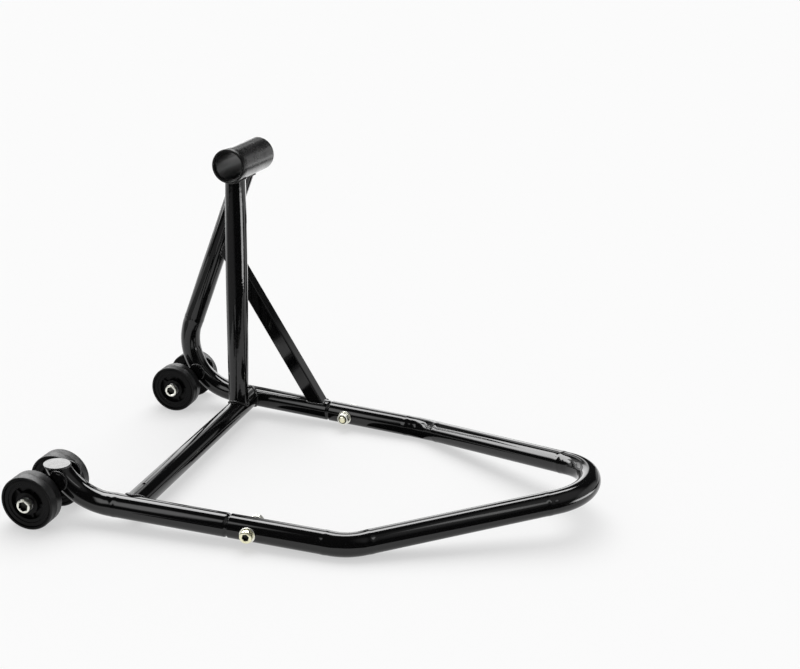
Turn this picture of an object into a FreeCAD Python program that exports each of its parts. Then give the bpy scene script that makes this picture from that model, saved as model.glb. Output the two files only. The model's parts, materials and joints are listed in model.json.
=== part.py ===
import FreeCAD, Part, Sketcher
import math
import os

# Rear paddock stand for a single-sided swingarm: two floor legs that close in a V handle, two pairs of
# wheels at the back, and a receiver tube held up by a post, a bent strut and a diagonal brace.
# The origin is on the floor at the centre of the stand. +X runs from the wheels to the handle, +Y from
# the short (near) leg to the tall (far) leg, and +Z is up. Millimetres.

Vector = FreeCAD.Vector

DIMENSIONS = [
    # tubes of the frame
    ("tube_dia", 30.0, "outside diameter of the legs and the handle"),
    ("tube_wall", 2.0, "wall of the legs and the handle"),
    ("cross_dia", 29.5, "outside diameter of the cross tube"),
    ("cross_wall", 2.0, "wall of the cross tube"),
    ("vent_dia", 5.0, "vent hole in the top of the cross tube"),
    ("vent_from_leg", 38.0, "vent hole from the axis of the near leg"),
    # plan of the stand, measured forwards from the wheel axis
    ("leg_spacing", 404.0, "distance between the leg axes above the wheel axis"),
    ("toe_angle", 2.5, "each leg turns inwards by this, in degrees"),
    ("floor_bend_run", 391.0, "wheel axis to the corner where the handle touches the floor"),
    ("floor_bend_radius", 74.0, "centreline radius of that corner"),
    ("arm_angle", 29.1, "each arm of the V turns inwards by this, in degrees"),
    ("arm_rise", 7.6, "each arm of the V rises by this, in degrees"),
    ("apex_radius", 67.0, "centreline radius at the end of the V"),
    ("leg_slope", 2.28, "the legs climb towards the wheels by this, in degrees"),
    ("rear_corner_run", 21.6, "wheel axis back to the virtual corner of the rear bend"),
    ("rear_bend_radius", 77.5, "centreline radius of the rear bend"),
    ("near_leg_height", 70.0, "height at which the near leg is cut off level"),
    ("cap_thick", 2.5, "end plate of the near leg"),
    # receiver and what carries it
    ("mast_run", 113.4, "wheel axis to the cross tube, the post and the receiver"),
    ("receiver_height", 394.0, "axis of the receiver above the floor"),
    ("receiver_inset", 82.6, "near mouth of the receiver from the far leg's line at the wheel axis"),
    ("receiver_length", 112.6, "length of the receiver"),
    ("receiver_dia", 48.0, "outside diameter of the receiver"),
    ("receiver_bore", 42.0, "bore of the receiver tube"),
    ("mouth_groove_run", 10.0, "shallow groove from the near mouth"),
    ("mouth_groove_width", 1.5, "width of that groove"),
    ("mouth_groove_depth", 0.4, "depth of that groove"),
    ("liner_bore", 38.0, "bore of the receiver's liner"),
    ("liner_inset", 3.0, "liner behind each mouth of the receiver"),
    ("liner_gap", 0.03, "radial gap of the pressed liner"),
    ("strut_seat", 74.0, "strut's seat from the near mouth of the receiver"),
    ("post_seat", 25.0, "post's seat from the near mouth of the receiver"),
    ("post_end_width", 27.5, "width of the post across its pinched ends"),
    ("post_end_depth", 31.0, "depth of the post across its pinched ends"),
    ("post_mid_width", 32.0, "width of the post half way up"),
    ("post_mid_depth", 29.0, "depth of the post half way up"),
    ("post_wall", 2.0, "wall of the post"),
    ("brace_side", 21.0, "side of the square brace"),
    ("brace_wall", 2.0, "wall of the brace"),
    ("brace_corner", 2.0, "outside corner radius of the brace"),
    ("brace_foot_back", 14.7, "brace's foot on the far leg's axis, back from the splice"),
    ("brace_head_height", 271.6, "height of the brace's head on the strut's axis"),
    # splices between the legs and the handle
    ("splice_run", 244.0, "wheel axis to the open ends of the handle"),
    ("swage_length", 3.0, "taper where a leg narrows to its spigot"),
    ("swage_gap", 1.5, "spigot left bare between the taper and the handle"),
    ("spigot_gap", 0.3, "radial gap of the spigot in the handle"),
    ("spigot_length", 55.0, "spigot inside the handle"),
    ("splice_bolt_run", 27.0, "splice bolt from the open end of the handle"),
    ("splice_bolt_dia", 10.0, "splice bolt"),
    ("splice_hole_gap", 0.2, "radial gap of the splice bolt in its holes"),
    ("splice_head_dia", 16.0, "head of the splice bolt"),
    ("splice_head_height", 6.0, "height of that head"),
    ("splice_socket", 8.0, "hexagon socket of that head, across flats"),
    ("splice_nut_flats", 16.0, "splice nut across flats"),
    ("splice_nut_height", 8.0, "height of the splice nut"),
    ("splice_tail", 2.0, "bolt past its nut"),
    ("splice_washer_dia", 20.0, "washer of the splice bolt"),
    ("splice_washer_thick", 1.6, "thickness of that washer"),
    # wheels
    ("wheel_dia", 70.0, "wheel"),
    ("wheel_width", 24.0, "width of the tread"),
    ("rim_round", 1.8, "rounding of the tread's edges"),
    ("rim_land", 3.5, "radial width of the flat rim"),
    ("face_step", 1.2, "face inside the rim, below the rim"),
    ("ring_groove_width", 1.2, "radial width of the groove inside the rim"),
    ("ring_groove_depth", 1.4, "depth of that groove below the face"),
    ("pocket_dia", 43.0, "outside of the ribbed pocket"),
    ("pocket_depth", 8.0, "depth of the ribbed pocket from the rim"),
    ("hub_dia", 29.0, "hub inside the pocket"),
    ("hub_step", 1.0, "hub's face below the rim"),
    ("rib_count", 5, "ribs in each pocket"),
    ("rib_thick", 3.0, "thickness of a rib"),
    ("rib_step", 2.6, "ribs below the rim"),
    ("wheel_gap", 0.3, "side play of a wheel at each face"),
    ("bush_dia", 18.0, "outside diameter of the wheel's bush"),
    ("bush_running_gap", 0.08, "radial gap between a wheel and its bush"),
    ("bush_bore_gap", 0.1, "radial gap between a bush and the axle bolt"),
    # wheel axles and their brackets
    ("axle_dia", 12.0, "axle bolt"),
    ("axle_head_dia", 18.0, "head of the axle bolt"),
    ("axle_head_height", 7.0, "height of that head"),
    ("axle_socket", 10.0, "hexagon socket of that head, across flats"),
    ("axle_nut_flats", 18.0, "axle nut across flats"),
    ("axle_nut_height", 6.0, "height of the axle nut"),
    ("axle_tail", 1.0, "axle bolt past its nut"),
    ("sleeve_dia", 20.0, "spacer sleeve between the bracket's plates"),
    ("axle_hole_gap", 0.2, "radial gap of the axle in the sleeve and plates"),
    ("plate_thick", 4.0, "bracket plate"),
    ("plate_round", 12.0, "end radius of a bracket plate"),
    ("weld_gap", 0.1, "bracket plate from the side of the leg at its nearest point"),
    ("thrust_washer_dia", 24.0, "washer between a plate and a wheel"),
    ("thrust_washer_thick", 1.0, "thickness of that washer"),
    ("thread_gap", 0.05, "radial gap of a nut on its bolt"),
    ("edge_break", 0.8, "small chamfer on turned pieces"),
]


class Size:
    """A length that carries its number together with the sheet expression that it comes from."""

    def __init__(self, number, text):
        self.number = number
        self.text = text

    def __float__(self):
        return self.number

    def _with(self, other, sign, number):
        text = other.text if isinstance(other, Size) else repr(float(other))
        return Size(number, "(%s %s %s)" % (self.text, sign, text))

    def __add__(self, other):
        return self._with(other, "+", self.number + float(other))

    def __sub__(self, other):
        return self._with(other, "-", self.number - float(other))

    def __mul__(self, other):
        return self._with(other, "*", self.number * float(other))

    def __truediv__(self, other):
        return self._with(other, "/", self.number / float(other))


doc = FreeCAD.newDocument("paddock_stand")
sheet = doc.addObject("Spreadsheet::Sheet", "dims")
size = {}
nodes = []


def put(alias, number, note):
    """One row of the sheet: a plain number, its name and what it is."""
    row = len(size) + 1
    sheet.set("A%d" % row, note)
    sheet.set("B%d" % row, "%.6f" % number)
    sheet.setAlias("B%d" % row, alias)
    size[alias] = Size(float(number), "dims." + alias)
    return size[alias]


for alias, number, note in DIMENSIONS:
    put(alias, number, note)

ZERO = Size(0.0, "0")


def value(alias):
    return size[alias].number


# ---------------------------------------------------------------- small helpers


def node(name, item):
    """Names the finished piece."""
    item.Label = name
    nodes.append(item)
    return item


def feature(kind, name, **sizes):
    """A Part primitive with its sizes bound to the sheet."""
    item = doc.addObject(kind, name)
    for key, amount in sizes.items():
        item.setExpression(key, amount.text)
    return item


def place(item, base, direction=Vector(0, 0, 1), local=Vector(0, 0, 1)):
    item.Placement = FreeCAD.Placement(base, FreeCAD.Rotation(local, direction))
    return item


def rod(name, radius, length, base, direction):
    """A round bar from base along direction."""
    return place(feature("Part::Cylinder", name, Radius=radius, Height=length), base, direction)


def joined(name, pieces):
    item = doc.addObject("Part::MultiFuse", name)
    item.Shapes = pieces
    return item


def cut(name, base, tools):
    """Base with the tools taken away."""
    item = doc.addObject("Part::Cut", name)
    item.Base = base
    item.Tool = tools[0] if len(tools) == 1 else joined(name + "_tools", tools)
    return item


def group(name, pieces):
    item = doc.addObject("Part::Compound", name)
    item.Links = pieces
    return item


def rounded_path(corners, radii):
    """Straight runs joined by tangent arcs, one radius for each inner corner."""
    edges = []
    start = corners[0]
    for before, corner, after, radius in zip(corners, corners[1:], corners[2:], radii):
        back = (before - corner).normalize()
        ahead = (after - corner).normalize()
        half = back.getAngle(ahead) / 2
        trim = radius / math.tan(half)
        bisector = (back + ahead).normalize()
        middle = corner + bisector * (radius / math.sin(half) - radius)
        arc_start = corner + back * trim
        arc_end = corner + ahead * trim
        edges.append(Part.LineSegment(start, arc_start).toShape())
        edges.append(Part.Arc(arc_start, middle, arc_end).toShape())
        start = arc_end
    edges.append(Part.LineSegment(start, corners[-1]).toShape())
    return Part.Wire(edges)


def swept(name, corners, radii, radius):
    """A round bar bent along the rounded path."""
    spine = doc.addObject("Part::Feature", name + "_spine")
    spine.Shape = rounded_path(corners, radii)
    section = feature("Part::Circle", name + "_section", Radius=radius)
    place(section, corners[0], corners[1] - corners[0])
    item = doc.addObject("Part::Sweep", name)
    item.Sections = [section]
    item.Spine = (spine, ["Edge%d" % (count + 1) for count in range(len(spine.Shape.Edges))])
    item.Solid = True
    return item


def origin_feature(body, role):
    return next(item for item in body.Origin.OriginFeatures if item.Role == role)


def new_sketch(body, name, role):
    sketch = body.newObject("Sketcher::SketchObject", name)
    sketch.AttachmentSupport = (origin_feature(body, role), [""])
    sketch.MapMode = "FlatFace"
    return sketch


def pin_point(sketch, line, end, across, up):
    """Holds one end of a line at a place bound to the sheet."""
    if across.number == 0:
        sketch.addConstraint(Sketcher.Constraint("PointOnObject", line, end, -2))
    else:
        index = sketch.addConstraint(Sketcher.Constraint("DistanceX", -1, 1, line, end, across.number))
        sketch.setExpression("Constraints[%d]" % index, across.text)
    if up.number == 0:
        sketch.addConstraint(Sketcher.Constraint("PointOnObject", line, end, -1))
    else:
        index = sketch.addConstraint(Sketcher.Constraint("DistanceY", -1, 1, line, end, up.number))
        sketch.setExpression("Constraints[%d]" % index, up.text)


def draw_outline(sketch, outline):
    """A closed outline of straight lines through points bound to the sheet."""
    count = len(outline)
    points = [Vector(across.number, up.number, 0) for across, up in outline]
    for index in range(count):
        sketch.addGeometry(Part.LineSegment(points[index], points[(index + 1) % count]))
    for index in range(count):
        follower = (index + 1) % count
        sketch.addConstraint(Sketcher.Constraint("Coincident", index, 2, follower, 1))
    for index, (across, up) in enumerate(outline):
        pin_point(sketch, index, 1, across, up)


def turned(name, outline, origin, direction):
    """A turned piece: (run along the axis, radius) points swung about the axis."""
    body = doc.addObject("PartDesign::Body", name)
    sketch = new_sketch(body, name + "_outline", "XZ_Plane")
    draw_outline(sketch, outline)
    turn = body.newObject("PartDesign::Revolution", name + "_turn")
    turn.Profile = sketch
    turn.ReferenceAxis = (sketch, ["H_Axis"])
    turn.Angle = 360
    return place(body, origin, direction, Vector(1, 0, 0))


def ring(name, outer, inner, length, origin, direction):
    """A turned tube or washer with its outside corners broken."""
    corner = size["edge_break"] / 4
    outline = [(ZERO, inner), (length, inner), (length, outer - corner), (length - corner, outer),
               (corner, outer), (ZERO, outer - corner)]
    return turned(name, outline, origin, direction)


def socket_screw(name, head_dia, head_height, socket, shank_dia, shank_length, seat, direction):
    """A socket-head screw whose head sits behind the seat and whose shank runs along direction."""
    corner = size["edge_break"]
    head = head_dia / 2
    shank = shank_dia / 2
    total = head_height + shank_length
    outline = [(ZERO, ZERO), (total, ZERO), (total, shank - corner), (total - corner, shank),
               (head_height, shank), (head_height, head), (corner, head), (ZERO, head - corner)]
    top = seat - direction * head_height.number
    blank = turned(name + "_blank", outline, top, direction)
    hexagon = feature("Part::Prism", name + "_socket", Circumradius=socket / math.sqrt(3),
                      Height=head_height * 0.6)
    place(hexagon, top, direction)
    return cut(name, blank, [hexagon])


def hex_nut(name, flats, height, hole_dia, seat, direction):
    """A hexagon nut standing on the seat, its corners turned off at both faces."""
    corner = size["edge_break"]
    outer = flats / math.sqrt(3)
    outline = [(ZERO, ZERO), (height, ZERO), (height, outer - corner * 1.5), (height - corner, outer),
               (corner, outer), (ZERO, outer - corner * 1.5)]
    blank = turned(name + "_blank", outline, seat, direction)
    prism = feature("Part::Prism", name + "_prism", Circumradius=flats / math.sqrt(3), Height=height)
    place(prism, seat, direction)
    common = doc.addObject("Part::Common", name + "_hexagon")
    common.Base = blank
    common.Tool = prism
    hole = rod(name + "_hole", hole_dia / 2 + size["thread_gap"], height, seat, direction)
    return cut(name, common, [hole])


# ---------------------------------------------------------------- lines of the frame

tube_radius = size["tube_dia"] / 2
tube_bore = tube_radius - size["tube_wall"]
half_spacing = value("leg_spacing") / 2
toe = math.tan(math.radians(value("toe_angle")))
slope = math.tan(math.radians(value("leg_slope")))


def handle_corners(corner_height, shift):
    """Centreline corners of the handle, from the near open end round to the far one."""
    run = value("floor_bend_run")
    half_width = half_spacing - toe * run
    reach = half_width / math.tan(math.radians(value("arm_angle")))
    climb = half_width / math.sin(math.radians(value("arm_angle"))) * math.tan(math.radians(value("arm_rise")))
    back = run - value("splice_run")
    end = Vector(shift + value("splice_run"), half_width + toe * back, corner_height + slope * back)
    bend = Vector(shift + run, half_width, corner_height)
    apex = Vector(shift + run + reach, 0, corner_height + climb)
    return [mirrored(end), mirrored(bend), apex, bend, end]


def mirrored(point):
    return Vector(point.x, -point.y, point.z)


handle_radii = [value("floor_bend_radius"), value("apex_radius"), value("floor_bend_radius")]

# The corner is lowered until the round bend itself lies on the floor.
trial = rounded_path(handle_corners(tube_radius.number, 0), handle_radii)
lowest = min(point.z for point in trial.Edges[1].discretize(201))
corner_height = 2 * tube_radius.number - lowest
foremost = max(point.x for point in trial.Edges[3].discretize(201))
length = foremost + tube_radius.number + value("wheel_dia") / 2
wheel_axis_x = (value("wheel_dia") - length) / 2
wheel_axis_z = value("wheel_dia") / 2


def on_leg(run, side):
    """A point of a leg's axis. side is -1 for the near leg and 1 for the far leg."""
    height = corner_height + slope * (value("floor_bend_run") - run)
    return Vector(wheel_axis_x + run, side * (half_spacing - toe * run), height)


mast_x = wheel_axis_x + value("mast_run")
receiver_mouth = Vector(mast_x, half_spacing - value("receiver_inset"), value("receiver_height"))
strut_top = receiver_mouth + Vector(0, value("strut_seat"), 0)
post_y = receiver_mouth.y + value("post_seat")
leg_start_run = value("splice_run") - value("swage_gap") - value("swage_length")

# ---------------------------------------------------------------- handle, legs and their splices


def splice_axis(side):
    """Centre of a splice bolt and the level direction across the tube, pointing outwards."""
    centre = on_leg(value("splice_run") + value("splice_bolt_run"), side)
    outwards = Vector(toe, side, 0).normalize()
    return centre, outwards


def splice_hole(name, side):
    centre, outwards = splice_axis(side)
    length = size["tube_dia"] * 2
    radius = size["splice_bolt_dia"] / 2 + size["splice_hole_gap"]
    return rod(name, radius, length, centre - outwards * (length.number / 2), outwards)


def leg_corners(side):
    """Centreline corners of a leg: its swaged end, the rear corner and a point up the strut."""
    top = strut_top if side > 0 else Vector(strut_top.x, -on_leg(value("mast_run"), 1).y, strut_top.z)
    return [on_leg(leg_start_run, side), on_leg(-value("rear_corner_run"), side), top]


def leg_tube(name, side):
    """The bent tube with its swaged end and spigot: returns the outside, and the solids to take away."""
    corners = leg_corners(side)
    radii = [value("rear_bend_radius")]
    outside = swept(name + "_outside", corners, radii, tube_radius)
    inside = swept(name + "_inside", corners, radii, tube_bore)
    ahead = (corners[0] - corners[1]).normalize()
    spigot = tube_bore - size["spigot_gap"]
    taper = feature("Part::Cone", name + "_taper", Radius1=tube_radius, Radius2=spigot,
                    Height=size["swage_length"])
    place(taper, corners[0], ahead)
    spigot_start = corners[0] + ahead * value("swage_length")
    spigot_length = size["swage_gap"] + size["spigot_length"]
    bar = rod(name + "_spigot", spigot, spigot_length, spigot_start, ahead)
    narrow_length = size["swage_length"] + spigot_length
    narrow = rod(name + "_spigot_bore", spigot - size["tube_wall"], narrow_length, corners[0], ahead)
    body = joined(name + "_solid", [outside, taper, bar])
    return outside, body, [inside, narrow, splice_hole(name + "_hole", side)]


def level_block(name, low, height):
    """A wide block between two levels, about the near leg's top."""
    width = size["receiver_height"]
    block = feature("Part::Box", name, Length=width, Width=width, Height=height)
    corner = Vector(wheel_axis_x - width.number / 2, -half_spacing - width.number / 2, low)
    return place(block, corner)


near_outside, near_body, near_tools = leg_tube("near_leg_tube", -1)
above_cut = level_block("near_leg_above", value("near_leg_height"), size["receiver_height"])
node("near_leg", cut("near_leg_cut", near_body, near_tools + [above_cut]))

cap = doc.addObject("Part::Common", "near_cap_plate")
cap.Base = near_outside
cap.Tool = level_block("near_cap_slice", value("near_leg_height"), size["cap_thick"])
node("near_leg_cap", cap)

receiver_solid = rod("receiver_solid", size["receiver_dia"] / 2, size["receiver_length"],
                     receiver_mouth, Vector(0, 1, 0))
far_outside, far_body, far_tools = leg_tube("far_leg_tube", 1)
node("far_leg_strut", cut("far_leg_cut", far_body, far_tools + [receiver_solid]))

handle_path = handle_corners(corner_height, wheel_axis_x)
handle_outside = swept("handle_outside", handle_path, handle_radii, tube_radius)
handle_inside = swept("handle_inside", handle_path, handle_radii, tube_bore)
handle_holes = [splice_hole("handle_near_hole", -1), splice_hole("handle_far_hole", 1)]
node("handle", cut("handle_cut", handle_outside, [handle_inside] + handle_holes))

# ---------------------------------------------------------------- cross tube, post, brace

cross_z = on_leg(value("mast_run"), 1).z
cross_start = Vector(mast_x, on_leg(value("mast_run"), -1).y, cross_z)
cross_length = put("cross_length", -2 * cross_start.y, "axis to axis length of the cross tube")
cross_solid = rod("cross_solid", size["cross_dia"] / 2, cross_length, cross_start, Vector(0, 1, 0))
cross_bore = rod("cross_bore", size["cross_dia"] / 2 - size["cross_wall"], cross_length,
                 cross_start, Vector(0, 1, 0))
vent = rod("cross_vent", size["vent_dia"] / 2, size["cross_dia"],
           cross_start + Vector(0, value("vent_from_leg"), 0), Vector(0, 0, 1))
node("cross_tube", cut("cross_cut", cross_solid, [cross_bore, vent, near_outside, far_outside]))


def barrel(name, inset):
    """The post's shape: an oval that is wide half way up and pinched at both ends."""
    levels = [cross_z, (cross_z + value("receiver_height")) / 2, value("receiver_height")]
    widths = [size["post_end_width"], size["post_mid_width"], size["post_end_width"]]
    depths = [size["post_end_depth"], size["post_mid_depth"], size["post_end_depth"]]
    ovals = []
    for index, (level, width, depth) in enumerate(zip(levels, widths, depths)):
        wide, deep = width / 2 - inset, depth / 2 - inset
        across = wide.number >= deep.number
        major, minor = (wide, deep) if across else (deep, wide)
        oval = feature("Part::Ellipse", "%s_oval_%d" % (name, index), MajorRadius=major, MinorRadius=minor)
        turn = FreeCAD.Rotation(Vector(0, 0, 1), 0 if across else 90)
        oval.Placement = FreeCAD.Placement(Vector(mast_x, post_y, level), turn)
        ovals.append(oval)
    item = doc.addObject("Part::Loft", name)
    item.Sections = ovals
    item.Solid = True
    return item


node("post", cut("post_cut", barrel("post_outside", ZERO),
                 [barrel("post_inside", size["post_wall"]), cross_solid, receiver_solid]))

brace_foot = on_leg(value("splice_run") - value("brace_foot_back"), 1)
strut_foot = leg_corners(1)[1]
strut_line = strut_top - strut_foot
brace_head = strut_foot + strut_line * ((value("brace_head_height") - strut_foot.z) / strut_line.z)
brace_line = brace_head - brace_foot
brace_length = put("brace_length", brace_line.Length, "axis to axis length of the brace")


def square_bar(name, side, corner):
    """A square bar along the brace's line, its long edges rounded."""
    half = side / 2
    body = doc.addObject("PartDesign::Body", name)
    sketch = new_sketch(body, name + "_section", "XY_Plane")
    points = [(-1, -1), (1, -1), (1, 1), (-1, 1)]
    for index, (across, up) in enumerate(points):
        following = points[(index + 1) % 4]
        sketch.addGeometry(Part.LineSegment(Vector(across * half.number, up * half.number, 0),
                                            Vector(following[0] * half.number, following[1] * half.number, 0)))
    for index in range(4):
        sketch.addConstraint(Sketcher.Constraint("Coincident", index, 2, (index + 1) % 4, 1))
        sketch.addConstraint(Sketcher.Constraint("Horizontal" if index % 2 == 0 else "Vertical", index))
    sketch.addConstraint(Sketcher.Constraint("Symmetric", 0, 1, 1, 2, -1, 1))
    for line, kind in ((0, "DistanceX"), (1, "DistanceY")):
        index = sketch.addConstraint(Sketcher.Constraint(kind, line, 1, line, 2, side.number))
        sketch.setExpression("Constraints[%d]" % index, side.text)
    pad = body.newObject("PartDesign::Pad", name + "_pad")
    pad.Profile = sketch
    pad.setExpression("Length", brace_length.text)
    doc.recompute()
    long_edges = []
    for index, edge in enumerate(pad.Shape.Edges):
        if abs(edge.Length - brace_length.number) < 1e-6:
            long_edges.append("Edge%d" % (index + 1))
    fillet = body.newObject("PartDesign::Fillet", name + "_round")
    fillet.Base = (pad, long_edges)
    fillet.setExpression("Radius", corner.text)
    up = brace_line.normalize()
    side_axis = Vector(0, 1, 0)
    side_axis = (side_axis - up * side_axis.dot(up)).normalize()
    turn = FreeCAD.Rotation(side_axis.cross(up), side_axis, up, "ZXY")
    body.Placement = FreeCAD.Placement(brace_foot, turn)
    return body


brace_solid = square_bar("brace_solid", size["brace_side"], size["brace_corner"])
brace_hollow = square_bar("brace_hollow", size["brace_side"] - size["brace_wall"] * 2,
                          size["brace_corner"] / 2)
node("brace", cut("brace_cut", brace_solid, [brace_hollow, far_outside]))

# ---------------------------------------------------------------- receiver and its liner

receiver_outer = size["receiver_dia"] / 2
receiver_inner = size["receiver_bore"] / 2
groove_start = size["mouth_groove_run"]
groove_end = groove_start + size["mouth_groove_width"]
groove_floor = receiver_outer - size["mouth_groove_depth"]
edge = size["edge_break"]
receiver_outline = [
    (ZERO, receiver_inner), (size["receiver_length"], receiver_inner),
    (size["receiver_length"], receiver_outer - edge), (size["receiver_length"] - edge, receiver_outer),
    (groove_end, receiver_outer), (groove_end, groove_floor), (groove_start, groove_floor),
    (groove_start, receiver_outer), (edge, receiver_outer), (ZERO, receiver_outer - edge),
]
node("receiver", turned("receiver_tube", receiver_outline, receiver_mouth, Vector(0, 1, 0)))

liner_length = size["receiver_length"] - size["liner_inset"] * 2
node("receiver_liner", ring("liner_tube", receiver_inner - size["liner_gap"], size["liner_bore"] / 2,
                            liner_length, receiver_mouth + Vector(0, value("liner_inset"), 0),
                            Vector(0, 1, 0)))

# ---------------------------------------------------------------- splice bolts

for side, word in ((-1, "near"), (1, "far")):
    centre, outwards = splice_axis(side)
    inwards = outwards * -1
    washer = size["splice_washer_thick"]
    bolt_radius = size["splice_bolt_dia"] / 2
    hole_radius = bolt_radius + size["splice_hole_gap"]
    seat = centre + outwards * (tube_radius + washer).number
    nut_seat = centre + inwards * (tube_radius + washer).number
    shank = size["tube_dia"] + washer * 2 + size["splice_nut_height"] + size["splice_tail"]
    node("splice_bolt_" + word,
         socket_screw("splice_screw_" + word, size["splice_head_dia"], size["splice_head_height"],
                      size["splice_socket"], size["splice_bolt_dia"], shank, seat, inwards))
    node("splice_nut_" + word,
         hex_nut("splice_hex_" + word, size["splice_nut_flats"], size["splice_nut_height"],
                 size["splice_bolt_dia"], nut_seat, inwards))
    washers = []
    for place_word, direction in (("head", outwards), ("nut", inwards)):
        base = centre + direction * tube_radius.number
        washers.append(ring("splice_ring_%s_%s" % (word, place_word), size["splice_washer_dia"] / 2,
                            hole_radius, washer, base, direction))
    node("splice_washers_" + word, group("splice_rings_" + word, washers))

# ---------------------------------------------------------------- wheels, bushes and axles

axle_radius = size["axle_dia"] / 2
plate_gap = put("plate_gap", toe * value("plate_round") + value("weld_gap"),
                "bracket plate from the side of the leg, which runs askew of the plate")
plate_seat = tube_radius + plate_gap
washer_seat = plate_seat + size["plate_thick"]
bush_seat = washer_seat + size["thrust_washer_thick"]
wheel_seat = bush_seat + size["wheel_gap"]
bush_length = size["wheel_width"] + size["wheel_gap"] * 2
stack_end = bush_seat + bush_length


def nearest_on_bend(side):
    """The point of a leg's bent axis that lies nearest to the wheel axis."""
    before, corner, after = leg_corners(side)
    back = (before - corner).normalize()
    ahead = (after - corner).normalize()
    radius = value("rear_bend_radius")
    centre = corner + (back + ahead).normalize() * (radius / math.sin(back.getAngle(ahead) / 2))
    across = back.cross(ahead)
    axle = Vector(wheel_axis_x, centre.y, wheel_axis_z)
    in_plane = axle - Vector(0, (axle - centre).dot(across) / across.y, 0)
    return centre + (in_plane - centre).normalize() * radius


def wheel(name, origin, direction):
    """A moulded wheel with a ribbed pocket in each face; origin is the middle of its left face."""
    width = size["wheel_width"]
    outer = size["wheel_dia"] / 2
    land = outer - size["rim_land"]
    groove = land - size["ring_groove_width"]
    face = size["face_step"]
    groove_floor = face + size["ring_groove_depth"]
    pocket = size["pocket_dia"] / 2
    floor = size["pocket_depth"]
    hub = size["hub_dia"] / 2
    hub_face = size["hub_step"]
    bore = size["bush_dia"] / 2 + size["bush_running_gap"]
    left = [(hub_face, bore), (hub_face, hub), (floor, hub), (floor, pocket), (face, pocket),
            (face, groove), (groove_floor, groove), (groove_floor, land), (ZERO, land), (ZERO, outer)]
    right = [(width - run, radius) for run, radius in reversed(left)]
    body = turned(name, left + right, origin, direction)
    doc.recompute()
    turn = body.Tip
    tread_edges = []
    for index, item in enumerate(turn.Shape.Edges):
        if hasattr(item.Curve, "Radius") and abs(item.Curve.Radius - outer.number) < 1e-6:
            tread_edges.append("Edge%d" % (index + 1))
    rounding = body.newObject("PartDesign::Fillet", name + "_round")
    rounding.Base = (turn, tread_edges)
    rounding.setExpression("Radius", size["rim_round"].text)
    rib = size["rib_thick"] / 2
    overlap = size["edge_break"]
    sketch = new_sketch(body, name + "_rib_outline", "YZ_Plane")
    low, high = hub - overlap, pocket + overlap
    draw_outline(sketch, [(ZERO, low), (rib * 2, low), (rib * 2, high), (ZERO, high)])
    sketch.setExpression("AttachmentOffset.Base.x", "-1 * " + rib.text)
    sketch.setExpression("AttachmentOffset.Base.z", size["rib_step"].text)
    pad = body.newObject("PartDesign::Pad", name + "_rib")
    pad.Profile = sketch
    pad.setExpression("Length", (width - size["rib_step"] * 2).text)
    pattern = body.newObject("PartDesign::PolarPattern", name + "_ribs")
    pattern.Originals = [pad]
    pattern.Axis = (origin_feature(body, "X_Axis"), [""])
    pattern.Angle = 360
    pattern.setExpression("Occurrences", size["rib_count"].text)
    body.Tip = pattern
    return body


def bracket_plates(name, centre, touch):
    """Two flat plates from the axle to the sides of the leg, one on each side of it."""
    towards = Vector(touch.x - centre.x, 0, touch.z - centre.z)
    reach = put(name + "_reach", towards.Length, "axle to the leg's axis along the bracket")
    towards.normalize()
    turn = FreeCAD.Rotation(towards, Vector(0, 1, 0), Vector(0, 0, 0), "XYZ")
    down = turn.multVec(Vector(0, 0, -1))
    plates = []
    for word, way in (("left", -1), ("right", 1)):
        part = "%s_%s" % (name, word)
        across = Vector(0, way, 0)
        base = centre + across * plate_seat.number
        eye = rod(part + "_eye", size["plate_round"], size["plate_thick"], base, across)
        tip = rod(part + "_tip", size["plate_round"], size["plate_thick"],
                  base + towards * reach.number, across)
        web = feature("Part::Box", part + "_web", Length=reach, Width=size["plate_thick"],
                      Height=size["plate_round"] * 2)
        low_face = base if way > 0 else base + across * value("plate_thick")
        web.Placement = FreeCAD.Placement(low_face + down * value("plate_round"), turn)
        hole = rod(part + "_hole", axle_radius + size["axle_hole_gap"], size["plate_thick"], base, across)
        plates.append(cut(part, joined(part + "_blank", [eye, tip, web]), [hole]))
    return group(name, plates)


for side, word in ((-1, "near"), (1, "far")):
    touch = nearest_on_bend(side)
    centre = Vector(wheel_axis_x, touch.y, wheel_axis_z)
    left, right = Vector(0, -1, 0), Vector(0, 1, 0)

    for way, direction, half_word in ((-1, left, "left"), (1, right, "right")):
        name = "%s_%s" % (word, half_word)
        node("wheel_" + name, wheel("wheel_body_" + name, centre + direction * wheel_seat.number, direction))
        node("wheel_bush_" + name,
             ring("wheel_tube_" + name, size["bush_dia"] / 2, axle_radius + size["bush_bore_gap"],
                  bush_length, centre + direction * bush_seat.number, direction))

    node("axle_bracket_" + word, bracket_plates("axle_plates_" + word, centre, touch))
    node("axle_sleeve_" + word,
         ring("axle_tube_" + word, size["sleeve_dia"] / 2, axle_radius + size["axle_hole_gap"],
              plate_seat * 2, centre + left * plate_seat.number, right))
    rings = []
    for half_word, direction in (("left", left), ("right", right)):
        rings.append(ring("thrust_ring_%s_%s" % (word, half_word), size["thrust_washer_dia"] / 2,
                          axle_radius + size["axle_hole_gap"], size["thrust_washer_thick"],
                          centre + direction * washer_seat.number, direction))
    node("thrust_washers_" + word, group("thrust_rings_" + word, rings))
    shank = stack_end * 2 + size["axle_nut_height"] + size["axle_tail"]
    node("axle_bolt_" + word,
         socket_screw("axle_screw_" + word, size["axle_head_dia"], size["axle_head_height"],
                      size["axle_socket"], size["axle_dia"], shank, centre + left * stack_end.number, right))
    node("axle_nut_" + word,
         hex_nut("axle_hex_" + word, size["axle_nut_flats"], size["axle_nut_height"], size["axle_dia"],
                 centre + right * stack_end.number, right))

# ---------------------------------------------------------------- check and export

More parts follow.
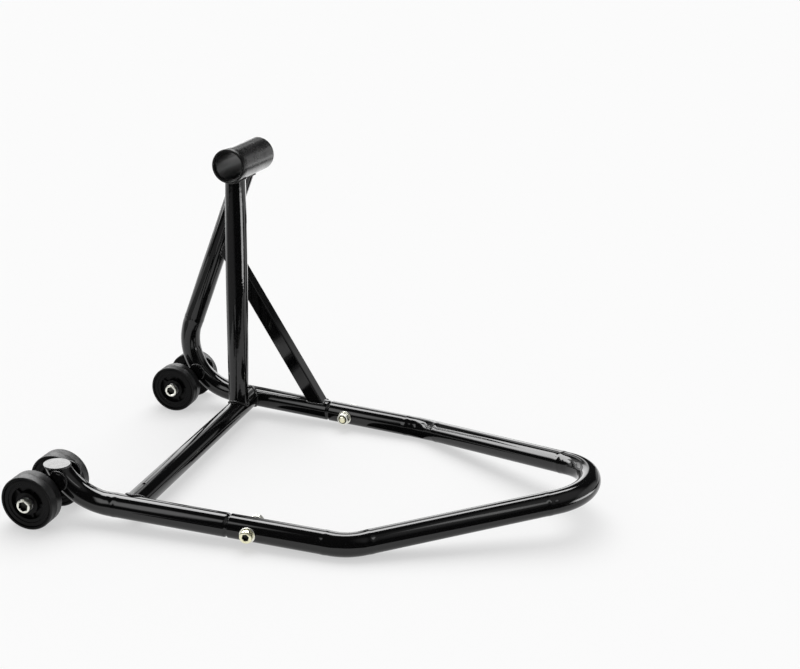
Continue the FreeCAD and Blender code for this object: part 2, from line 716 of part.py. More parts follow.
doc.recompute()
for item in doc.Objects:
    if "Invalid" in item.State or "Error" in item.State:
        raise RuntimeError("%s: %s" % (item.Label, item.State))
os.makedirs("parts", exist_ok=True)
for item in nodes:
    shape = item.Shape
    if shape.isNull() or not shape.isValid() or not shape.Solids:
        raise RuntimeError("%s has no valid solid" % item.Label)
for item in nodes:
    item.Shape.exportStep("parts/%s.step" % item.Label)
    box = item.Shape.optimalBoundingBox(True, False)
    print("%-22s solids %d  volume %9.1f  x %7.2f %7.2f  y %7.2f %7.2f  z %7.2f %7.2f" % (
        item.Label, len(item.Shape.Solids), item.Shape.Volume,
        box.XMin, box.XMax, box.YMin, box.YMax, box.ZMin, box.ZMax))
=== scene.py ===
import json
import math
import random

import bmesh
import bpy
from mathutils import Matrix, Quaternion, Vector


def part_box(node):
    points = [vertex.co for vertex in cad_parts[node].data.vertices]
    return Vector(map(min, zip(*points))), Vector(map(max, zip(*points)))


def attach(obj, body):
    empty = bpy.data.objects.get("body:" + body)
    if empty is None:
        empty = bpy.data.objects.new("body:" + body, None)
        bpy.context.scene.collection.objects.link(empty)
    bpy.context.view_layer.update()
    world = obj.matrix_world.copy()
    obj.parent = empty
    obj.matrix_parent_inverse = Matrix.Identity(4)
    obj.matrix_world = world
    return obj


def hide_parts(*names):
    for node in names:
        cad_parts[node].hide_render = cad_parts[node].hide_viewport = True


# The looks of a rear paddock stand for a single-sided swingarm: glossy black bent tubes with their welds and
# bending marks, moulded wheels, zinc-plated screws and a satin receiver, in a small studio with one long
# overhead light. Metres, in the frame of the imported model: +X to the handle, +Y to the tall leg, +Z up.

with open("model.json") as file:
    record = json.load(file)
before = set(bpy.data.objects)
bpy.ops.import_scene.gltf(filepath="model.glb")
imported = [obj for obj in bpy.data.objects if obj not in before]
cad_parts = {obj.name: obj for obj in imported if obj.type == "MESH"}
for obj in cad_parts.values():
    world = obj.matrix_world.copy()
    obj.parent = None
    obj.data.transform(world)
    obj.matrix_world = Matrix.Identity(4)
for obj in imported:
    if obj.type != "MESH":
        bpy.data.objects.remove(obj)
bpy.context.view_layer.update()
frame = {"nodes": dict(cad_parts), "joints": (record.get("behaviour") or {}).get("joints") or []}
cad = frame["nodes"]
MM = 0.001
SIDES = ((-1, "near"), (1, "far"))
X_AXIS = Vector((1, 0, 0))
Y_AXIS = Vector((0, 1, 0))
UP = Vector((0, 0, 1))

# ---------------------------------------------------------------- sizes of the stand

TUBE_RADIUS = 15 * MM
TUBE_WALL = 2 * MM
TUBE_BORE = TUBE_RADIUS - TUBE_WALL
LEG_SPACING = 404 * MM
TOE = math.tan(math.radians(2.5))
LEG_SLOPE = math.tan(math.radians(2.28))
FLOOR_BEND_RUN = 391 * MM
FLOOR_BEND_RADIUS = 74 * MM
ARM_ANGLE = math.radians(29.1)
ARM_RISE = math.tan(math.radians(7.6))
APEX_RADIUS = 67 * MM
REAR_CORNER_RUN = 21.6 * MM
REAR_BEND_RADIUS = 77.5 * MM
MAST_RUN = 113.4 * MM
SPLICE_RUN = 244 * MM
SPLICE_BOLT_RUN = 27 * MM
SWAGE_LENGTH = 3 * MM
SWAGE_GAP = 1.5 * MM
SPIGOT_GAP = 0.3 * MM
SPIGOT_LENGTH = 55 * MM
NEAR_LEG_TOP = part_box("near_leg_cap")[0].z
BRACE_SIDE = 21 * MM
BRACE_CORNER = 2 * MM
BRACE_FOOT_BACK = 14.7 * MM
BRACE_HEAD_HEIGHT = 271.6 * MM
STRUT_SEAT = 74 * MM
VENT_FROM_LEG = 38 * MM
VENT_RADIUS = 2.7 * MM

wheel_axis_x = frame["joints"][0]["pos_m"][0]
wheel_axis_z = frame["joints"][0]["pos_m"][2]
receiver_low, receiver_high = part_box("receiver")
receiver_centre = (receiver_low + receiver_high) / 2
receiver_radius = (receiver_high.z - receiver_low.z) / 2
receiver_length = receiver_high.y - receiver_low.y
cross_low, cross_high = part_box("cross_tube")
cross_radius = (cross_high.z - cross_low.z) / 2
cross_middle = (cross_low.z + cross_high.z) / 2
mast_x = receiver_centre.x

# ---------------------------------------------------------------- geometry of lines and rings

SECTORS = 48
MARK_BEFORE = 9 * MM
MARK_LENGTH = 3.2 * MM


def square_to(direction):
    """A unit vector at right angles to direction."""
    helper = UP if abs(direction.z) < 0.9 else X_AXIS
    return direction.cross(helper).normalized()


def straight_stops(start, end, inward):
    """Stops along a straight run, close together near both ends, where the bending tool left its marks."""
    length = (end - start).length
    direction = (end - start).normalized()
    fine = [index * 1 * MM for index in range(22)]
    coarse = [fine[-1] + index * 6 * MM for index in range(1, int(length / (6 * MM)))]
    places = [run for run in fine + coarse if run < length / 2]
    places += [length - run for run in reversed(places)]
    return [(start + direction * run, direction, inward, 0.0) for run in places]


def route_stops(corners, radii):
    """Stops of a bent tube: point, direction, unit vector to the bend's centre, and how oval the bend is."""
    stops = []
    ends = []
    start = corners[0]
    for before, corner, after, radius in zip(corners, corners[1:], corners[2:], radii):
        back = (before - corner).normalized()
        ahead = (after - corner).normalized()
        half = back.angle(ahead) / 2
        trim = radius / math.tan(half)
        inward = (back + ahead).normalized()
        centre = corner + inward * (radius / math.sin(half))
        arc_start = corner + back * trim
        stops += straight_stops(start, arc_start, inward)
        ends.append(arc_start + back * MARK_BEFORE)
        turn = math.pi - 2 * half
        axis = (arc_start - centre).cross(corner + ahead * trim - centre).normalized()
        steps = int(turn * radius / (1.2 * MM))
        for index in range(1, steps):
            spin = Quaternion(axis, turn * index / steps)
            spoke = spin @ (arc_start - centre)
            run = min(index, steps - index) * turn * radius / steps
            stops.append((centre + spoke, spin @ -back, -spoke.normalized(), min(1.0, run / (9 * MM))))
        start = corner + ahead * trim
        ends.append(start + ahead * MARK_BEFORE)
    stops += straight_stops(start, corners[-1], inward)
    return stops, ends


def tube_rings(stops, ends, radius, flatten=0.035, ridge=0.3 * MM):
    """Rings of points round a bent tube, a little oval in its bends and ridged just outside them."""
    rings = []
    across = square_to(stops[0][1])
    for point, direction, inward, oval in stops:
        across = (across - direction * across.dot(direction)).normalized()
        other = direction.cross(across)
        mark = sum(math.exp(-((point - end).length / MARK_LENGTH) ** 2) for end in ends) * ridge
        ring = []
        for sector in range(SECTORS):
            angle = math.tau * sector / SECTORS
            spoke = across * math.cos(angle) + other * math.sin(angle)
            share = spoke.dot(inward) ** 2
            stretch = 1 + flatten * oval * (0.45 * (1 - share) - share)
            ring.append(point + spoke * (radius * stretch + mark))
        rings.append(ring)
    return rings


def meet_cylinder(start, direction, axis_point, axis, radius):
    """Where a line from start first meets a round bar."""
    away = start - axis_point
    away -= axis * away.dot(axis)
    flat = direction - axis * direction.dot(axis)
    square = flat.dot(flat)
    middle = away.dot(flat)
    rest = away.dot(away) - radius * radius
    reach = (-middle - math.sqrt(max(0.0, middle * middle - square * rest))) / square
    return start + direction * reach


def oval_section(half_width, half_depth, across, other, count=72):
    """Offsets round an oval section."""
    return [across * (half_width * math.cos(math.tau * index / count))
            + other * (half_depth * math.sin(math.tau * index / count)) for index in range(count)]


def square_section(side, corner, across, other, steps=6):
    """Offsets round a square section with round corners."""
    offsets = []
    inner = side / 2 - corner
    for quarter in range(4):
        middle = math.pi / 4 + quarter * math.pi / 2
        centre = (math.copysign(inner, math.cos(middle)), math.copysign(inner, math.sin(middle)))
        for index in range(steps + 1):
            angle = quarter * math.pi / 2 + index / steps * math.pi / 2
            offsets.append(across * (centre[0] + corner * math.cos(angle))
                           + other * (centre[1] + corner * math.sin(angle)))
    return offsets


# ---------------------------------------------------------------- lines of the frame


def mirrored(point):
    return Vector((point.x, -point.y, point.z))


def handle_corners(corner_height):
    """Centreline corners of the handle, from the near open end round to the far one."""
    half_width = LEG_SPACING / 2 - TOE * FLOOR_BEND_RUN
    back = FLOOR_BEND_RUN - SPLICE_RUN
    reach = half_width / math.tan(ARM_ANGLE)
    climb = half_width / math.sin(ARM_ANGLE) * ARM_RISE
    end = Vector((wheel_axis_x + SPLICE_RUN, half_width + TOE * back, corner_height + LEG_SLOPE * back))
    bend = Vector((wheel_axis_x + FLOOR_BEND_RUN, half_width, corner_height))
    apex = Vector((wheel_axis_x + FLOOR_BEND_RUN + reach, 0, corner_height + climb))
    return [mirrored(end), mirrored(bend), apex, bend, end]


HANDLE_RADII = [FLOOR_BEND_RADIUS, APEX_RADIUS, FLOOR_BEND_RADIUS]
trial_stops = route_stops(handle_corners(TUBE_RADIUS), HANDLE_RADII)[0]
corner_height = 2 * TUBE_RADIUS - min(stop[0].z for stop in trial_stops)


def on_leg(run, side):
    """A point of a leg's axis. side is -1 for the near leg and 1 for the far leg."""
    height = corner_height + LEG_SLOPE * (FLOOR_BEND_RUN - run)
    return Vector((wheel_axis_x + run, side * (LEG_SPACING / 2 - TOE * run), height))


def leg_line(side):
    """A point and the forward direction of a leg's straight run."""
    start = on_leg(MAST_RUN, side)
    return start, (on_leg(SPLICE_RUN, side) - start).normalized()


strut_top = Vector((mast_x, receiver_low.y + STRUT_SEAT, receiver_centre.z))


def leg_corners(side):
    """Centreline corners of a leg: its swaged end, the rear corner and a point up the strut."""
    top = strut_top if side > 0 else Vector((mast_x, -on_leg(MAST_RUN, 1).y, strut_top.z))
    run = SPLICE_RUN - SWAGE_GAP - SWAGE_LENGTH
    return [on_leg(run, side), on_leg(-REAR_CORNER_RUN, side), top]


# ---------------------------------------------------------------- materials


def maths(tree, operation, *terms):
    """The value of a maths node. Each term is a number or another node's output."""
    item = tree.nodes.new("ShaderNodeMath")
    item.operation = operation
    for entry, term in zip(item.inputs, terms):
        if isinstance(term, (int, float)):
            entry.default_value = term
        else:
            tree.links.new(term, entry)
    return item.outputs[0]


def map_range(tree, source, start, end, low, high, curve="LINEAR"):
    """A change from low to high while source goes from start to end."""
    item = tree.nodes.new("ShaderNodeMapRange")
    item.interpolation_type = curve
    for key, number in (("From Min", start), ("From Max", end), ("To Min", low), ("To Max", high)):
        item.inputs[key].default_value = number
    tree.links.new(source, item.inputs["Value"])
    return item.outputs["Result"]


class Shader:
    """A new material with its Principled node and short ways to add others."""

    def __init__(self, name):
        self.material = bpy.data.materials.new(name)
        self.material.use_nodes = True
        self.tree = self.material.node_tree
        self.surface = self.tree.nodes["Principled BSDF"]
        self.place = self.add("ShaderNodeTexCoord").outputs["Object"]

    def add(self, kind, **settings):
        item = self.tree.nodes.new(kind)
        for key, setting in settings.items():
            setattr(item, key, setting)
        return item

    def link(self, source, target):
        self.tree.links.new(source, target)

    def noise(self, scale, detail=3.0, rough=0.5, stretch=None):
        """Noise of about 1 / scale metres, drawn out along an axis where stretch says so."""
        item = self.add("ShaderNodeTexNoise")
        item.inputs["Scale"].default_value = scale
        item.inputs["Detail"].default_value = detail
        item.inputs["Roughness"].default_value = rough
        source = self.place
        if stretch:
            mapping = self.add("ShaderNodeMapping")
            mapping.inputs["Scale"].default_value = stretch
            self.link(source, mapping.inputs["Vector"])
            source = mapping.outputs["Vector"]
        self.link(source, item.inputs["Vector"])
        return item.outputs["Fac"]

    def ranged(self, source, start, end, low, high):
        return map_range(self.tree, source, start, end, low, high)

    def blend(self, amount, first, second):
        """A colour between two colours."""
        item = self.add("ShaderNodeMix", data_type="RGBA")
        item.inputs[6].default_value = (*first, 1)
        item.inputs[7].default_value = (*second, 1)
        self.link(amount, item.inputs["Factor"])
        return item.outputs[2]

    def bump(self, layers):
        """Bumps in turn: (height, strength, distance) from the coarsest to the finest."""
        normal = None
        for height, strength, distance in layers:
            item = self.add("ShaderNodeBump")
            item.inputs["Strength"].default_value = strength
            item.inputs["Distance"].default_value = distance
            self.link(height, item.inputs["Height"])
            if normal:
                self.link(normal, item.inputs["Normal"])
            normal = item.outputs["Normal"]
        self.link(normal, self.surface.inputs["Normal"])

    def paint(self, colour, roughness):
        self.link(colour, self.surface.inputs["Base Color"])
        self.link(roughness, self.surface.inputs["Roughness"])


def gloss_paint():
    """Glossy black enamel over steel: slight orange peel, a few dust specks, faint handling marks."""
    shade = Shader("gloss_black_enamel")
    cloud = shade.noise(9, 2)
    specks = shade.ranged(shade.noise(620, 1), 0.72, 0.78, 0, 1)
    colour = shade.blend(specks, (0.0025, 0.0025, 0.0027), (0.015, 0.015, 0.016))
    shade.paint(colour, shade.ranged(cloud, 0.35, 0.7, 0.05, 0.11))
    peel = shade.noise(260, 2)
    drift = shade.noise(38, 1)
    shade.bump([(drift, 0.25, 0.25 * MM), (peel, 0.12, 0.05 * MM)])
    shade.surface.inputs["IOR"].default_value = 1.5
    return shade.material


def cap_paint():
    """The same enamel run thick over a rough-cut end plate."""
    shade = Shader("gloss_black_end_plate")
    shade.paint(shade.blend(shade.noise(400, 2), (0.006, 0.006, 0.0065), (0.02, 0.02, 0.02)),
                shade.ranged(shade.noise(180, 2), 0.3, 0.7, 0.08, 0.2))
    shade.bump([(shade.noise(420, 2), 0.5, 0.12 * MM)])
    return shade.material


def satin_paint():
    """Satin black powder coat with a fine grain."""
    shade = Shader("satin_black_coat")
    colour = shade.blend(shade.noise(60, 3), (0.004, 0.004, 0.0042), (0.008, 0.008, 0.008))
    shade.paint(colour, shade.ranged(shade.noise(45, 3), 0.3, 0.7, 0.22, 0.3))
    shade.bump([(shade.noise(900, 2), 0.2, 0.03 * MM)])
    return shade.material


def liner_plastic():
    """Dark bearing plastic, machined: fine rings round its axis."""
    shade = Shader("liner_black_plastic")
    rings = shade.noise(500, 2, stretch=(8, 0.05, 0.05))
    shade.paint(shade.blend(rings, (0.003, 0.003, 0.003), (0.008, 0.008, 0.008)),
                shade.ranged(rings, 0.3, 0.7, 0.28, 0.42))
    shade.surface.inputs["Specular IOR Level"].default_value = 0.25
    shade.bump([(rings, 0.3, 0.03 * MM)])
    return shade.material


def wheel_plastic(name, gloss):
    """Moulded black nylon. The faces are smooth, and the tread is dull with fine scuffs round it."""
    shade = Shader(name)
    spread = shade.add("ShaderNodeSeparateXYZ")
    shade.link(shade.place, spread.inputs[0])
    flat = shade.add("ShaderNodeCombineXYZ")
    shade.link(spread.outputs["Y"], flat.inputs["Y"])
    shade.link(spread.outputs["Z"], flat.inputs["Z"])
    reach = shade.add("ShaderNodeVectorMath", operation="LENGTH")
    shade.link(flat.outputs[0], reach.inputs[0])
    tread = shade.ranged(reach.outputs["Value"], 34.2 * MM, 34.8 * MM, 0, 1)
    scuffs = shade.noise(420, 4, 0.65, stretch=(3.0, 0.35, 0.35))
    worn = maths(shade.tree, "MULTIPLY", tread, shade.ranged(scuffs, 0.4, 0.75, 0.1, 1))
    colour = shade.blend(worn, (0.004, 0.004, 0.0042), (0.022, 0.022, 0.023))
    cloud = shade.noise(70, 3)
    dull = shade.ranged(cloud, 0.3, 0.7, 0.25, 0.36)
    shade.paint(colour, maths(shade.tree, "ADD", dull, shade.ranged(tread, 0, 1, 0, 0.1)))
    shade.surface.inputs["Specular IOR Level"].default_value = gloss
    shade.bump([(cloud, 0.2, 0.1 * MM), (shade.noise(1500, 2), 0.18, 0.02 * MM)])
    return shade.material


def plated_steel(name, colour, tarnish, low, high):
    """Zinc-plated steel: uneven passivation, fine turning marks round the axis."""
    shade = Shader(name)
    cloud = shade.noise(160, 3)
    marks = shade.noise(900, 2, stretch=(6, 0.1, 0.1))
    shade.paint(shade.blend(shade.ranged(cloud, 0.35, 0.75, 0, 1), colour, tarnish),
                shade.ranged(cloud, 0.3, 0.7, low, high))
    shade.surface.inputs["Metallic"].default_value = 1.0
    shade.bump([(marks, 0.15, 0.02 * MM)])
    return shade.material


gloss = gloss_paint()
cap_gloss = cap_paint()
satin = satin_paint()
liner_dark = liner_plastic()
nylon = wheel_plastic("wheel_black_nylon", 0.28)
nylon_face = wheel_plastic("wheel_face_nylon", 0.1)
zinc_clear = plated_steel("zinc_clear", (0.95, 0.95, 0.88), (0.88, 0.88, 0.78), 0.30, 0.42)
zinc_yellow = plated_steel("zinc_yellow", (0.95, 0.93, 0.72), (0.86, 0.82, 0.52), 0.22, 0.36)
# Painted shade: a dark copy of the zinc, for the inside of the screw sockets and the recessed tops of the
# nuts.
zinc_painted_shade = plated_steel("zinc_in_shadow", (0.05, 0.05, 0.045), (0.02, 0.02, 0.018), 0.3, 0.45)
steel = plated_steel("ground_steel", (0.55, 0.55, 0.55), (0.42, 0.41, 0.40), 0.25, 0.38)

# ---------------------------------------------------------------- making pieces


def finish_piece(name, mesh, body, material, slot, replaces=(), bevel=0.0, crease=35.0, place=None):
    """Turns a bmesh into a piece of the stand that rides on a body."""
    bmesh.ops.recalc_face_normals(mesh, faces=mesh.faces)
    data = bpy.data.meshes.new(name)
    mesh.to_mesh(data)
    mesh.free()
    data.polygons.foreach_set("use_smooth", [True] * len(data.polygons))
    data.set_sharp_from_angle(angle=math.radians(crease))
    data.materials.append(material)
    piece = bpy.data.objects.new(name, data)
    bpy.context.scene.collection.objects.link(piece)
    if place is not None:
        piece.matrix_world = place
    if bevel:
        rounding = piece.modifiers.new("edges", "BEVEL")
        rounding.width = bevel
        rounding.segments = 3
        rounding.limit_method = "ANGLE"
        rounding.angle_limit = math.radians(crease)
        rounding.harden_normals = True
    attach(piece, body)
    if replaces:
        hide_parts(*replaces)
    return piece


def painted_piece(name, mesh, **settings):
    """A piece of the welded frame, in gloss black enamel."""
    return finish_piece(name, mesh, "frame", gloss, "gloss_black_paint", **settings)


def join_rings(mesh, rings, closed=False):
    """Skins rings of points with quads and returns the rings of vertices."""
    made = [[mesh.verts.new(point) for point in ring] for ring in rings]
    pairs = list(zip(made, made[1:]))
    if closed:
        pairs.append((made[-1], made[0]))
    for ring, following in pairs:
        count = len(ring)
        for index in range(count):
            neighbour = (index + 1) % count
            mesh.faces.new((ring[index], ring[neighbour], following[neighbour], following[index]))
    return made


def hollow_tube(outer, inner):
    """A tube with a wall: outer rings there, inner rings back, closed at both ends."""
    mesh = bmesh.new()
    join_rings(mesh, outer + list(reversed(inner)), closed=True)
    return mesh


def bead(name, points, radius, seed, closed=True):
    """A weld bead of overlapping drops along a line of points."""
    chance = random.Random(seed)
    path = points + points[:1] if closed else list(points)
    runs = [0.0]
    for first, second in zip(path, path[1:]):
        runs.append(runs[-1] + (second - first).length)
    total = runs[-1]
    drops = max(3, round(total / DROP_LENGTH))
    pitch = total / drops
    sizes = [chance.uniform(0.86, 1.12) for _ in range(drops + 1)]
    count = drops * RINGS_PER_DROP
    centres = []
    segment = 0
    for index in range(count if closed else count + 1):
        run = total * index / count
        while segment < len(runs) - 2 and runs[segment + 1] < run:
            segment += 1
        share = (run - runs[segment]) / max(1e-9, runs[segment + 1] - runs[segment])
        centres.append(path[segment].lerp(path[segment + 1], share))
    rings = []
    across = None
    for index, centre in enumerate(centres):
        before = centres[index - 1] if closed or index else centre
        after = centres[(index + 1) % len(centres)] if closed or index < len(centres) - 1 else centre
        direction = (after - before).normalized()
        across = square_to(direction) if across is None else across - direction * across.dot(direction)
        across.normalize()
        other = direction.cross(across)
        run = total * index / count / pitch
        size = sizes[int(run) % drops] * (0.80 + 0.26 * (run % 1.0) ** 0.5 if run % 1.0 < 0.85 else 0.86)
        taper = 1.0 if closed else min(1.0, 0.35 + min(index, count - index) / 6)
        reach = radius * size * taper
        rings.append([centre + offset for offset in oval_section(reach, reach, across, other, 12)])
    mesh = bmesh.new()
    made = join_rings(mesh, rings, closed=closed)
    if not closed:
        mesh.faces.new(made[0])
        mesh.faces.new(made[-1])
    return painted_piece(name, mesh, crease=80)


# ---------------------------------------------------------------- bent tubes


def offset_line(stop, run):
    """A stop of the same straight run, further along it."""
    point, direction, inward = stop[:3]
    return point + direction * run, direction, inward, 0.0


def build_handle():
    """The handle: open ends with a thin rim, two floor bends and the rounded end of the V."""
    stops, ends = route_stops(handle_corners(corner_height), HANDLE_RADII)
    mesh = hollow_tube(tube_rings(stops, ends, TUBE_RADIUS), tube_rings(stops, ends, TUBE_BORE))
    painted_piece("handle_tube", mesh, replaces=["handle"], bevel=0.5 * MM, crease=50)


def swaged_start():
    """Places and radii of a leg's front end: bore's end, spigot, taper."""
    spigot = TUBE_BORE - SPIGOT_GAP
    reach = SWAGE_LENGTH + SWAGE_GAP + SPIGOT_LENGTH
    return [(reach, spigot - 0.6 * MM), (reach - 0.6 * MM, spigot), (SWAGE_LENGTH + 0.4 * MM, spigot),
            (SWAGE_LENGTH * 0.7, spigot + 0.7 * MM), (SWAGE_LENGTH * 0.25, TUBE_RADIUS - 0.5 * MM),
            (0.0, TUBE_RADIUS - 0.12 * MM)]


def leg_rings(corners):
    """Outer and inner rings of a leg from its spigot backwards."""
    stops, ends = route_stops(corners, [REAR_BEND_RADIUS])
    outer = []
    inner = []
    for reach, radius in swaged_start():
        stop = offset_line(stops[0], -reach)
        outer += tube_rings([stop], [], radius)
        inner += tube_rings([stop], [], min(radius, TUBE_BORE) - TUBE_WALL)
    outer += tube_rings(stops[1:], ends, TUBE_RADIUS)
    inner += tube_rings(stops[1:], ends, TUBE_BORE)
    return outer, inner, stops


def cut_off(mesh, point, normal):
    """Cuts away what lies beyond a plane and returns what lies in the cut."""
    geometry = list(mesh.verts) + list(mesh.edges) + list(mesh.faces)
    return bmesh.ops.bisect_plane(mesh, geom=geometry, dist=1e-7, plane_co=point, plane_no=normal,
                                  clear_outer=True)["geom_cut"]


def build_near_leg():
    """The near leg, cut off level above its wheels. Returns the outline of the cut too."""
    bottom, corner, top = leg_corners(-1)
    upwards = (top - corner).normalized()
    outer, inner, stops = leg_rings([bottom, corner, corner + upwards * 150 * MM])
    mesh = hollow_tube(outer, inner)
    cut = cut_off(mesh, UP * NEAR_LEG_TOP, UP)
    rim = [item for item in cut if isinstance(item, bmesh.types.BMEdge)]
    bmesh.ops.bridge_loops(mesh, edges=rim)
    painted_piece("near_leg_tube", mesh, replaces=["near_leg"], crease=50)
    outline = []
    for sector in range(SECTORS):
        column = [ring[sector] for ring in outer]
        for low, high in zip(column, column[1:]):
            if low.z <= NEAR_LEG_TOP < high.z:
                outline.append(low.lerp(high, (NEAR_LEG_TOP - low.z) / (high.z - low.z)))
                break
    return outline, stops


def build_far_leg():
    """The far leg and strut, coped where it meets the receiver."""
    bottom, corner, top = leg_corners(1)
    upwards = (top - corner).normalized()
    outer, inner, stops = leg_rings([bottom, corner, top - upwards * 45 * MM])
    target = (strut_top, Y_AXIS, receiver_radius)
    for rings in (outer, inner):
        rings.append([meet_cylinder(point, upwards, *target) for point in rings[-1]])
    painted_piece("far_leg_strut_tube", hollow_tube(outer, inner), replaces=["far_leg_strut"], crease=50)
    return stops


build_handle()
near_outline, near_stops = build_near_leg()
far_stops = build_far_leg()

# ---------------------------------------------------------------- welds

BEAD = 1.9 * MM
DROP_LENGTH = 2.1 * MM
RINGS_PER_DROP = 7
PROUD = 0.5 * MM
POST_END_WIDTH = 13.9 * MM
POST_END_DEPTH = 15.6 * MM


def weld(name, offsets, base, direction, target, radius, seed):
    """A bead where a bar, coming from base along direction, lands on a round tube: point, axis, radius."""
    line = [meet_cylinder(base + offset, direction, *target) for offset in offsets]
    bead(name, line, radius, seed)


def weld_cross_tube():
    base = Vector((mast_x, 0, cross_middle))
    reach = cross_radius + PROUD
    for side, word in SIDES:
        weld("weld_cross_" + word, oval_section(reach, reach, X_AXIS, UP), base, Vector((0, side, 0)),
             (*leg_line(side), TUBE_RADIUS + PROUD), BEAD * 1.1, 3 + side)


def weld_post():
    low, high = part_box("post")
    base = Vector((mast_x, (low.y + high.y) / 2, (low.z + high.z) / 2))
    foot = oval_section(min(POST_END_WIDTH, cross_radius) - 0.2 * MM, POST_END_DEPTH, X_AXIS, Y_AXIS)
    weld("weld_post_foot", foot, base, -UP, (Vector((mast_x, base.y, cross_middle)), Y_AXIS,
                                             cross_radius + PROUD), BEAD * 1.15, 11)
    head = oval_section(POST_END_WIDTH + PROUD, POST_END_DEPTH + PROUD, X_AXIS, Y_AXIS)
    weld("weld_post_head", head, base, UP, (receiver_centre, Y_AXIS, receiver_radius + PROUD), BEAD, 12)


def weld_strut_head():
    """The strut's bead lies on the line where its coped end meets the receiver."""
    upwards = (strut_top - leg_corners(1)[1]).normalized()
    across = square_to(upwards)
    reach = TUBE_RADIUS + PROUD
    offsets = oval_section(reach, reach, across, upwards.cross(across))
    weld("weld_strut_head", offsets, strut_top - upwards * 60 * MM, upwards,
         (strut_top, Y_AXIS, receiver_radius + PROUD), BEAD, 13)


def weld_brace():
    corner = leg_corners(1)[1]
    strut_line = strut_top - corner
    head = corner + strut_line * ((BRACE_HEAD_HEIGHT - corner.z) / strut_line.z)
    foot = on_leg(SPLICE_RUN - BRACE_FOOT_BACK, 1)
    upwards = (head - foot).normalized()
    side_axis = (Y_AXIS - upwards * Y_AXIS.dot(upwards)).normalized()
    offsets = square_section(BRACE_SIDE + PROUD, BRACE_CORNER, side_axis.cross(upwards), side_axis)
    middle = (head + foot) / 2
    reach = TUBE_RADIUS + PROUD
    weld("weld_brace_foot", offsets, middle, -upwards, (*leg_line(1), reach), BEAD * 1.1, 14)
    weld("weld_brace_head", offsets, middle, upwards, (head, strut_line.normalized(), reach), BEAD, 15)


def weld_cap():
    middle = sum(near_outline, Vector()) / len(near_outline)
    sunk = 0.3 * MM
    line = [point - (point - middle).normalized() * sunk + UP * sunk for point in near_outline]
    bead("weld_cap", line, 0.9 * MM, 16)


def weld_brackets():
    """A short bead round the end of each bracket plate, on the side that faces the leg."""
    for (side, word), stops in zip(SIDES, (near_stops, far_stops)):
        axle = Vector((wheel_axis_x, 0, wheel_axis_z))
        points = [stop[0] for stop in stops]
        touch = min(points, key=lambda point: math.hypot(point.x - axle.x, point.z - axle.z))
        towards = Vector((touch.x - axle.x, 0, touch.z - axle.z)).normalized()
        upwards = Vector((-towards.z, 0, towards.x))
        low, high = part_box("axle_bracket_" + word)
        plate = 4 * MM
        for way, face in ((-1, low.y + plate), (1, high.y - plate)):
            line = []
            for index in range(25):
                angle = math.radians(-90 + 180 * index / 24)
                spoke = towards * math.cos(angle) + upwards * math.sin(angle)
                place = touch + spoke * 12.3 * MM
                line.append(Vector((place.x, face + way * 0.4 * MM, place.z)))
            name = "weld_bracket_%s_%s" % (word, "left" if way < 0 else "right")
            bead(name, line, 1.5 * MM, 20 + side + way, closed=False)


def vent_rim():
    """A raised burr round the cross tube's vent hole, under the paint."""
    burr = 0.55 * MM
    hole = Vector((mast_x, on_leg(MAST_RUN, -1).y + VENT_FROM_LEG, 0))
    points = []
    for index in range(32):
        angle = math.tau * index / 32
        across = VENT_RADIUS * math.cos(angle)
        drop = math.sqrt(cross_radius ** 2 - across ** 2)
        ahead = VENT_RADIUS * math.sin(angle)
        points.append(Vector((hole.x + across, hole.y + ahead, cross_middle + drop - 0.1 * MM)))
    mesh = bmesh.new()
    rings = []
    for index, point in enumerate(points):
        direction = (points[(index + 1) % 32] - points[index - 1]).normalized()
        outwards = Vector((point.x - hole.x, point.y - hole.y, 0)).normalized()
        upwards = direction.cross(outwards)
        rings.append([point + offset for offset in oval_section(burr, burr, outwards, upwards, 10)])
    join_rings(mesh, rings, closed=True)
    painted_piece("vent_rim", mesh, crease=80)


weld_cross_tube()
vent_rim()
weld_post()
weld_strut_head()
weld_brace()
weld_cap()
weld_brackets()

# ---------------------------------------------------------------- turned pieces

COLUMNS = 72


def hexagon(angle, apothem):
    """Distance to the side of a hexagon at an angle."""
    return apothem / math.cos((angle + math.pi / 6) % (math.pi / 3) - math.pi / 6)


def lathe(profile, closed=False):
    """A turned bmesh about +X. A profile point is (run, radius) or (run, radius, "hex")."""
    mesh = bmesh.new()
    rings = []
    for run, radius, *shape in profile:
        ring = []
        for column in range(COLUMNS):
            angle = math.tau * column / COLUMNS
            reach = hexagon(angle, radius) if shape else radius
            ring.append(Vector((run, reach * math.cos(angle), reach * math.sin(angle))))
        rings.append(ring)
    made = join_rings(mesh, rings, closed)
    if not closed:
        for ring in (made[0], made[-1]):
            mesh.faces.new(ring)
    return mesh


def turned_piece(name, mesh, origin, direction, *, material, slot, replaces, body="frame", bevel=0.0,
                 spin=0.0, crease=35.0):
    """Puts a turned mesh with its own axes at origin, its +X along direction."""
    bmesh.ops.transform(mesh, matrix=Matrix.Rotation(spin, 4, "X"), verts=mesh.verts)
    place = Matrix.Translation(origin) @ direction.to_track_quat("X", "Z").to_matrix().to_4x4()
    return finish_piece(name, mesh, body, material, slot, replaces, bevel, crease, place)


def threads(start, end, radius, pitch=1.5 * MM, depth=0.55 * MM):
    """Profile of a thread from start to end."""
    points = []
    turns = int(abs(end - start) / pitch)
    step = math.copysign(pitch, end - start)
    for index in range(turns):
        points.append((start + step * index, radius))
        points.append((start + step * (index + 0.5), radius - depth))
    return points


